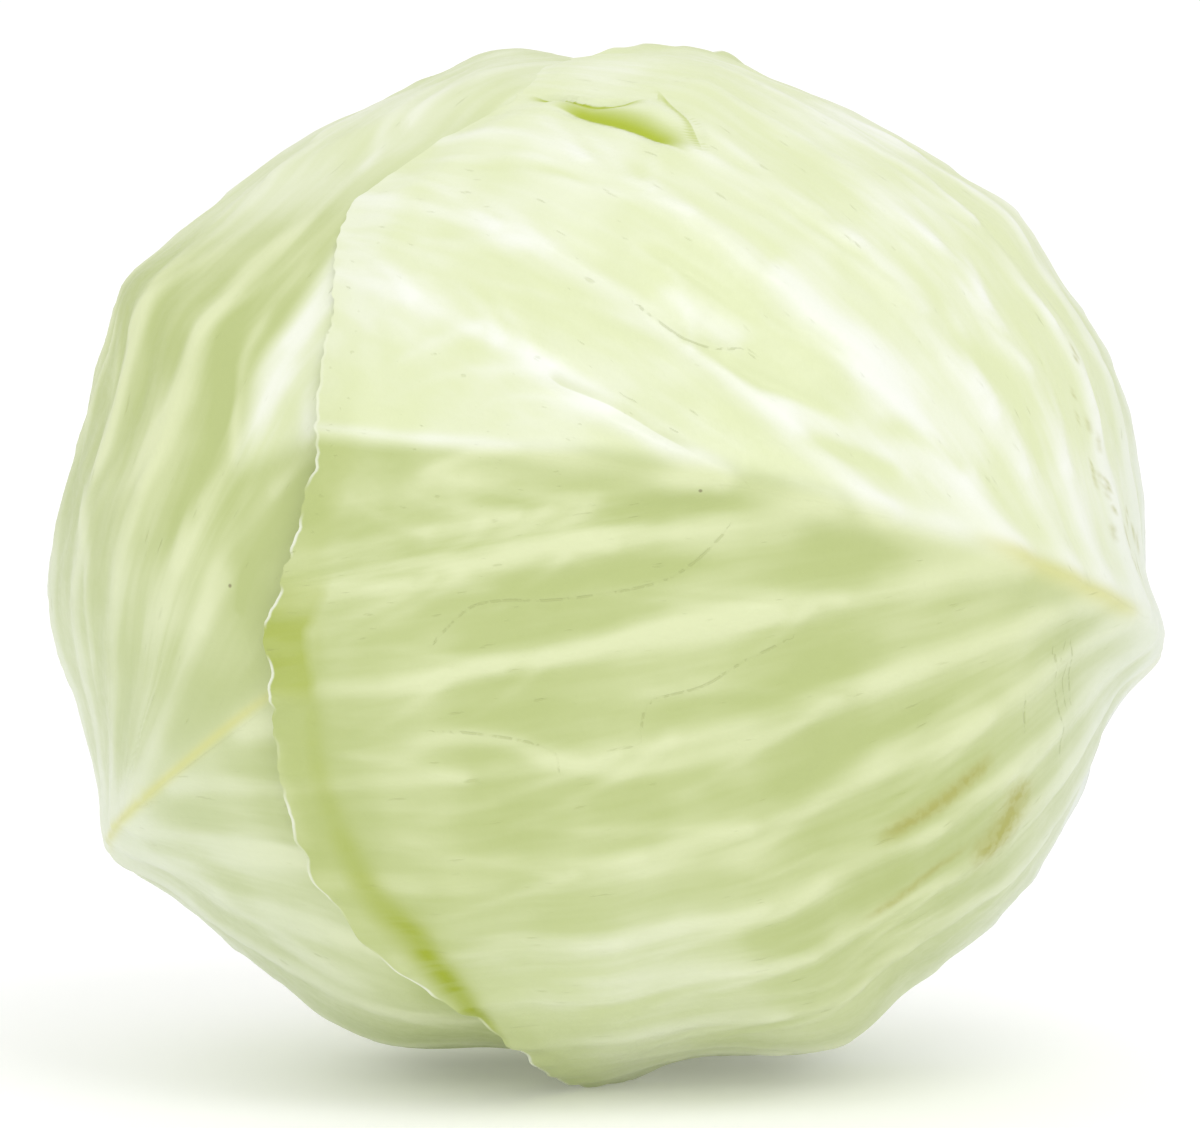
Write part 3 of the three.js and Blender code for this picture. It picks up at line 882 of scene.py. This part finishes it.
# Front leaf: the outermost, over the right two thirds of the head. Its midrib runs from the knuckle
# on the right shoulder as a roof-like crest, and its edge ends in a thin notched lip on the left.
FRONT_EDGE = [
    (3, 111.7), (10.6, 113.0), (16.8, 113.3), (25.9, 115.3), (33, 113.6), (45.2, 111), (54.3, 108),
    (59, 103.8), (63.5, 99), (70.6, 92.8), (80.9, 88), (90, 84.5), (101.5, 83), (115, 87),
    (130, 90), (160, 92), (176, 94.4), (184, 94.4), (200, 92), (225, 89), (247, 86), (262, 84),
    (275, 85), (284, 93), (294, 101), (302, 103),
    (307, 101), (311, 100), (315.7, 105), (319.3, 108.8), (322.9, 112), (325.7, 114.2), (328.8, 115.8),
    (336.7, 115.2), (346.6, 113.9), (355.9, 112.6),
]

# The roof-like crest of the midrib as (p, q), its height by p, and its widths to the left and right.
CREST_LINE = [(-14, 0), (43, 0), (55, -2), (67, -2.3), (79.5, -2.3), (94, 0.4), (103, 1.9), (110, 2.6)]
CREST_HEIGHT = [(-14, 0.4), (10, 1.6), (45, 2.1), (65, 1.9), (85, 1.1), (105, 0.4), (115, 0.2)]
CREST_FLANKS = (9.0, 15.0)

# Turns round the leaf between which its edge lies close, and between which it is bright green.
CLOSE_TURNS = (-78, 4)
GREEN_TURNS = (15, 38)
GREEN_WIDTH = 7.8

# The green valley just inside the edge as (p, q), and its strength and width in mm by the share of
# its length. Its yellow-green is the edge's own colour, deepened low down as painted shade where the
# rolled edge faces away from the light.
EDGE_VALLEY = [
    (104.4, 35.6), (97.4, 50.3), (92.6, 58.1), (85.2, 67.1), (73.2, 76.9), (60.8, 82.4), (51.1, 83.2),
    (40.6, 84.9), (28.3, 86.8), (16.8, 87.6),
]
VALLEY_STRENGTH = [(0, 0.1), (0.25, 0.3), (0.45, 0.4), (0.58, 0.7), (0.7, 1.0), (0.88, 1.0), (1.0, 0.4)]
VALLEY_WIDTH = [(0, 1.6), (0.3, 1.8), (0.5, 2.6), (0.65, 3.4), (0.8, 2.6), (1.0, 1.4)]

# Folds as (p, q) points, height, and widths to the left and to the right of the line.
SLIT = [(62.2, -76.6), (61.4, -74.5), (60.6, -72.9), (60.2, -70), (59, -67.9), (56.3, -66.8), (53.7, -66.3)]
FLAP = [(63.2, -73), (61.8, -70), (60, -66.5), (57.6, -62), (56, -58)]
GROOVE = [(64.9, -70.2), (63.3, -66.4), (62, -63.2), (60.8, -60), (59.7, -56.4), (58.4, -52)]
FOLD_END = [(50.4, -68.3), (52.6, -62.6), (54, -58.1), (56.7, -51.6)]
POCKET = [(86, -14), (84, -12.3), (78.7, -9.7), (73.8, -6.6), (68.4, -3)]
POCKET_LIP = [(84.5, -8.6), (77.4, -6.2), (72.3, -3.9), (66.7, -2.2)]
UPPER_CREASE = [(74, -25.4), (70.5, -21.8), (67.4, -20.4), (63.8, -20.2)]
FRONT_FOLDS = [
    (SLIT, -1.1, 0.5, 1.6),
    (FLAP, 0.9, 3.0, 3.0),
    (GROOVE, -1.5, 3.2, 1.2),
    (FOLD_END, -0.5, 0.9, 1.6),
    (POCKET, -1.0, 2.6, 2.2),
    (POCKET_LIP, 0.5, 1.6, 1.0),
    (UPPER_CREASE, -0.5, 1.2, 1.0),
]

# Folds that show bright green, as the line, how green it is there, how wide in mm this is, and the side
# it fades to, 1 for the left and -1 for the right. On the other side it ends sharply.
GREEN_FOLDS = [(SLIT, 1.0, 3.2, -1), (GROOVE, 1.0, 5.6, 1), (FOLD_END, 0.6, 1.6, -1), (POCKET, 0.3, 2.6, 1)]

# Bands on the leaf as (p, q) points, how much paler or greener they are, and their width in mm.
PALE_BANDS_FRONT = [
    ([(61.9, -14.7), (56, -11.8), (49.5, -9.2), (42.5, -6.1)], 0.5, 2.8),
    ([(72.1, -29.4), (66.8, -24.6), (61.4, -20.6)], 0.5, 2.8),
    ([(57, -34), (54.1, -30.4), (48.1, -22.5), (41.1, -15.1)], 0.55, 3.6),
    ([(46.8, -41.2), (40.8, -31.2), (31.1, -21.2)], 0.45, 2.2),
    ([(100.4, 7.7), (94.3, 1.9), (87.8, -0.5)], 0.4, 1.2),
    ([(108.8, 19.8), (104.5, 13.6), (97.1, 7.4), (88, 4.8)], 0.4, 2.4),
    ([(105, 32.7), (98.4, 26.3), (90.3, 21.3), (86.1, 17.5), (79.9, 13.1), (72.4, 9), (63.5, 6)], 0.6, 1.7),
    ([(93.4, 54.6), (86.7, 47), (80.7, 37.6), (74.1, 31.5), (66.4, 23.6), (58.1, 18), (43.1, 8.1)], 0.6, 1.8),
    ([(79, 62), (78.5, 53.5), (73.2, 48.7), (65.6, 47.1), (57.1, 42.7), (47.9, 31.2), (34, 12)], 0.5, 1.8),
    ([(52.8, 75.4), (48.8, 58.5), (39.6, 45.3), (36.3, 33.2), (32.6, 24), (24.5, 14.3)], 0.4, 2.2),
    ([(38.7, 76.8), (36.9, 62), (29.7, 48), (24.9, 39.4)], 0.4, 2.4),
    ([(92, 66), (85, 74), (77, 80), (68, 84)], 0.5, 2.4),
]
# Hollows, sunk a little and greener: partly the leaf's own green between the ribs, partly painted shade in
# the hollows and below the crest.
SHADED_HOLLOWS_FRONT = [
    ([(72, -37.7), (65.7, -30.2), (59.2, -23.7)], -0.4, 1.1),
    ([(74.6, -25.6), (69.7, -21.4), (65.1, -18.1), (58.4, -14.5), (48.9, -11.3)], -0.5, 1.3),
    ([(50, -47.1), (45, -36.4), (37.2, -25.6), (28, -16.8)], -0.5, 3.2),
    ([(24, -42), (21.2, -39.9), (15.8, -34.3), (12, -28.3)], -0.6, 2.8),
    ([(58.3, -8.4), (49.9, -7.2), (43.8, -6.1)], -0.5, 1.6),
    ([(47.7, -12.8), (40.4, -10.2), (36.3, -7.5)], -0.5, 1.8),
    ([(96, 9), (88, 9.5), (80, 6), (72, 3.5), (62, 2.2), (50, 2)], -0.5, 2.6),
    ([(88, 26), (80, 20), (70, 14.5), (60, 10)], -0.3, 2.4),
    ([(62, 39), (56, 31), (50.5, 25.5), (42.6, 16)], -0.4, 3.0),
    ([(42.4, 38.7), (38.2, 26.7), (28.5, 15.7)], -0.35, 2.6),
    ([(82.7, -62.7), (78.3, -54.8), (70.2, -50.9), (64.4, -47.3)], -0.3, 2.6),
]
TANNED_CREST = [(37, -0.8), (29.3, 0.1), (21.3, 0.3), (13, 0.3), (6, -0.3)]
# Crease lines, sunk into the bump and darkened along them with painted shade.
BRANCHED_LINES = [
    [(88.3, 37.5), (87.6, 30.3), (84.6, 26.8), (78.6, 23.7), (69.3, 16.9), (65.7, 12.2), (63.4, 6.7)],
    [(60.3, 38.1), (61.8, 33.4), (57.8, 28.5), (55.2, 23), (52, 18.5)],
    [(78.8, 52), (75.5, 49.5), (70.2, 46.9), (66.6, 46.5), (65.2, 47.6)],
    UPPER_CREASE,
    [(17.9, 7.9), (13.8, 12), (7.5, 17.2)],
    [(15.7, 6.3), (11.7, 10.4)],
    [(19.9, 13.8), (18.2, 15.7)],
]
BRUISES = [
    ([(20.5, 20), (21.6, 23.2), (24, 27.6), (26.3, 31.9), (27.6, 36)], 0.9, 1.5),
    ([(13.2, 20), (12.2, 24), (11.8, 28), (13, 32)], 0.95, 3.2),
    ([(15.1, 29), (17.3, 35.2), (18.2, 39.8), (19.3, 44)], 0.6, 0.9),
]
SPECKED = [(18, -26), (18, -20.4), (16, -16), (13.5, -14), (11.6, -9), (6.5, -11), (3, -9), (4.6, -6)]


def bitten(turns, cycles, seed):
    """Seeded round lobes between sharp notches of uneven size, about -1 to 1, along an edge."""
    random = np.random.default_rng(seed)
    counts = random.integers(cycles[0], cycles[1], 6)
    phases = random.uniform(0, math.pi, 6)
    lobes = np.abs(np.sin(np.radians(turns)[:, None] * counts / 2 + phases)) - 2 / math.pi
    return (lobes * (30 / counts) ** 0.5).sum(axis=1) / 1.6


def front_ragged(turns):
    """The front leaf's edge in degrees of arc: long waves, and small lobes between sharp notches."""
    patchy = 0.5 + 0.5 * np.clip(waver(turns, (6, 24), 75), -1, 1)
    small = 0.5 * patchy * bitten(turns, (30, 110), 74) + 0.1 * waver(turns, (120, 200), 76)
    return 0.35 * waver(turns, (16, 44), 72) + small


skin = leaf_surface(0, 600, 136, front_ragged, dense=(-58, 106, 2.2), edge=FRONT_EDGE, seed=81)
crest_p, crest_q = np.array(CREST_LINE).T
crest_at, crest_tall = np.array(CREST_HEIGHT).T
beside = (skin["q"] - np.interp(skin["p"], crest_p, crest_q)) * DEGREE
flank = np.where(beside > 0, *CREST_FLANKS)
crest = np.interp(skin["p"], crest_at, crest_tall) * np.exp(1 - np.sqrt(1 + (beside / flank) ** 2 * 9))
skin["height"] += crest * smooth((skin["p"] + 30) / 20)
add_bands(skin, PALE_BANDS_FRONT, 0.5)
add_bands(skin, SHADED_HOLLOWS_FRONT, 0.8)
for points, height, left, right in FRONT_FOLDS:
    skin["height"] += folded(skin, points, height, left, right)

# Along the upper left the edge lies close on the next leaf and hardly shows.
hugging = smooth((skin["turn"] - CLOSE_TURNS[0]) / 12) * smooth((CLOSE_TURNS[1] - skin["turn"]) / 22)
lifted = (0.25 + 0.5 * waver(skin["turn"], (30, 95), 73)) * (1 - hugging)
skin["height"] += np.clip(lifted, -0.2, 1.2) * smooth(1 - skin["edge_gap"] / 6)
skin["curl"] -= 2.9 * hugging * smooth(1 - skin["edge_gap"] / CURL_REACH)
# The painted highlight along the edge comes and goes, and is left out where the edge lies close.
skin["painted_edge_highlight"] = (1 - hugging) * smooth(0.5 + 0.7 * waver(skin["turn"], (10, 50), 77))

gap, along, _ = near_line(skin, EDGE_VALLEY, 14)
strength = np.interp(along, *np.array(VALLEY_STRENGTH).T)
valley = strength * bell(gap / np.interp(along, *np.array(VALLEY_WIDTH).T))
by_the_edge = smooth((skin["turn"] - GREEN_TURNS[0]) / 6) * smooth((GREEN_TURNS[1] - skin["turn"]) / 8)
rim_part = by_the_edge * smooth((GREEN_WIDTH - skin["edge_gap"]) / 1.2)
rim_part *= 0.6 + 0.2 * waver(skin["turn"], (20, 60), 78)
skin["band"] = np.clip(np.maximum(np.maximum(valley, rim_part), skin["band"] * (1 - hugging)), 0, 1)
skin["height"] -= 0.7 * valley
# Painted light: above the crest the leaf faces the lamp and is painted paler and whiter, and the paler low
# front is painted bounce light from the floor.
skin["bloom_and_painted_light"] = smooth(0.5 - beside / 6) * smooth((skin["p"] + 20) / 40)
painted_bounce_light_low = 0.6 * smooth((skin["q"] - 42) / 30) * smooth((58 - skin["p"]) / 30)
skin["bloom_and_painted_light"] = np.maximum(skin["bloom_and_painted_light"], painted_bounce_light_low)
skin["tan"] = folded(skin, TANNED_CREST, 0.75, 1.6, 1.6)
skin["tan"] += 0.25 * bell((skin["p"] + 12) / 6) * bell((skin["q"] - 1) / 4)
skin["height"] += folded(skin, TANNED_CREST, 0.6, 2.0, 1.6)
for points, strength, width, hand in GREEN_FOLDS:
    gap, along, side = near_line(skin, points, 3 * width)
    nearer = gap / width < np.abs(skin["fold"])
    skin["fold"] = np.where(nearer, hand * side * gap / width, skin["fold"])
    skin["fold_near"] = np.where(nearer, strength * faded_ends(along, 5), skin["fold_near"])
random = np.random.default_rng(88)
strokes = list(BRUISES)
for place_p, place_q in SPECKED * 3:
    p, q = place_p + random.normal(0, 0.9), place_q + random.normal(0, 1.5)
    run = random.uniform(0.6, 2.6)
    line = [(p, q), (p - 0.1 * run, q + 0.6 * run), (p - 0.4 * run, q + run)]
    strokes.append((line, random.uniform(0.3, 0.7), random.uniform(0.35, 0.7)))
for points, strength, width in strokes:
    skin["mark"] = np.maximum(skin["mark"], folded(skin, points, strength, width, width))
nearest = np.full(len(skin["p"]), 3.0)
for points in BRANCHED_LINES:
    gap, _, side = near_line(skin, points, 6)
    skin["crease"] = np.where(gap < nearest, side * gap, skin["crease"])
    nearest = np.minimum(nearest, gap)
skin["crease_near"] = smooth(2.5 - nearest)
skin["fold_near"] *= smooth(4 - 4 * np.abs(skin["fold"])) * smooth(1 + skin["fold"] / 0.4)
leaf_piece("front_leaf", "leaf_1_front", skin, outer_skin)


# Cut stem: the stump left where the head was cut from its root, tapering towards the head's middle.
# It is woody white flesh in a paler skin, with a ring of sap vessels and a dried, tanned cut face.
STUMP_ARC = 10.6
STUMP_END = 83
STUMP_SEAT = 61
STUMP_SIDES = 96
STUMP_SHARP = 50


def stump_rows():
    """The stump's profile from the seat's centre over the side to the cut's centre, as (along, share)."""
    seat = [(STUMP_SEAT, s) for s in (0.35, 0.7, 1.0)]
    side = [(along, 1.0) for along in np.linspace(STUMP_SEAT + 2, STUMP_END - 1.6, 12)]
    bevel = [(STUMP_END - 0.7, 0.985), (STUMP_END - 0.2, 0.95)]
    cut = [(STUMP_END, s) for s in np.linspace(0.91, 0.05, 16)]
    return np.array(seat + side + bevel + cut)


profile = stump_rows()
stump_turns = np.linspace(0, 360, STUMP_SIDES, endpoint=False)
along = profile[:, 0][:, None] + np.zeros(STUMP_SIDES)
share = profile[:, 1][:, None] + np.zeros(STUMP_SIDES)
slope = math.tan(math.radians(STUMP_ARC))
wavy = 1 - 0.02 + 0.02 * waver(stump_turns, (3, 14), 91)
round_it = share * along * slope * np.minimum(wavy, 1)
cos, sin = cos_sin(stump_turns)
sides = cos[:, None] * stem_right + sin[:, None] * stem_up
on_cut = smooth((along - STUMP_END + 0.3) / 0.3)
uneven = on_cut * (0.25 * np.sin(9 * share + 2 * cos) - 0.35 + 0.2 * np.sin(14 * round_it * sin / 15.5))
places = (along + np.minimum(uneven, 0))[..., None] * stem_axis + round_it[..., None] * sides[None]
count = len(profile)
stump_grid = np.arange(count * STUMP_SIDES).reshape(count, STUMP_SIDES)
onward = np.roll(stump_grid, -1, axis=1)
stump_faces = faces_from(stump_grid[:-1], onward[:-1], onward[1:], stump_grid[1:])
for centre, first, second in ((0, onward[0], stump_grid[0]), (1, stump_grid[-1], onward[-1])):
    middles = np.full(STUMP_SIDES, count * STUMP_SIDES + centre)
    stump_faces += faces_from(middles, first, second)
centres = np.array([STUMP_SEAT * stem_axis, (STUMP_END - 0.4) * stem_axis])
stump_points = np.concatenate([places.reshape(-1, 3), centres])
stump_values = {
    "from_rim": np.concatenate([(on_cut * (1 - share)).ravel(), [0, 1]]),
    "cut": np.concatenate([on_cut.ravel(), [0, 1]]),
}

stem_material, tree, shader, place = new_material("cut stem")
from_rim, cut = stored(tree, "from_rim"), stored(tree, "cut")
cloud = grouped(tree, clouds, {"Place": place, "Size": 120.0})
fibre_cells = add_node(tree, "ShaderNodeTexVoronoi", {"Vector": place, "Scale": 900.0}, feature="F1")
fibres = fibre_cells.outputs["Distance"]
ring_end = ramp(tree, from_rim, 0.22, 0.34, 1.0, 0.0)
ring = times(tree, ramp(tree, from_rim, 0.1, 0.18), ring_end)
flesh = blend_colours(tree, cloud["Tone"], colour(226, 222, 186), colour(238, 235, 208))
tanned = blend_colours(tree, cloud["Tone"], colour(196, 180, 128), colour(222, 210, 166))
tanned = blend_colours(tree, times(tree, ring, 0.6), tanned, colour(168, 158, 104))
tanned = blend_colours(tree, ramp(tree, fibres, 0.15, 0.5, 0.5, 0.0), tanned, colour(150, 130, 84))
tree.links.new(blend_colours(tree, cut, flesh, tanned), shader.inputs["Base Color"])
tree.links.new(ramp(tree, cloud["Grain"], 0.0, 1.0, 0.55, 0.75), shader.inputs["Roughness"])
rough = calculate(tree, "ADD", fibres, times(tree, cloud["Grain"], 0.6))
emboss(tree, shader, rough, 0.0004, 0.6)
cut_stem = dressed("cut_stem", stump_points, stump_faces, STUMP_SHARP, stump_values, stem_material)
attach(cut_stem, "root")
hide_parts("stem")
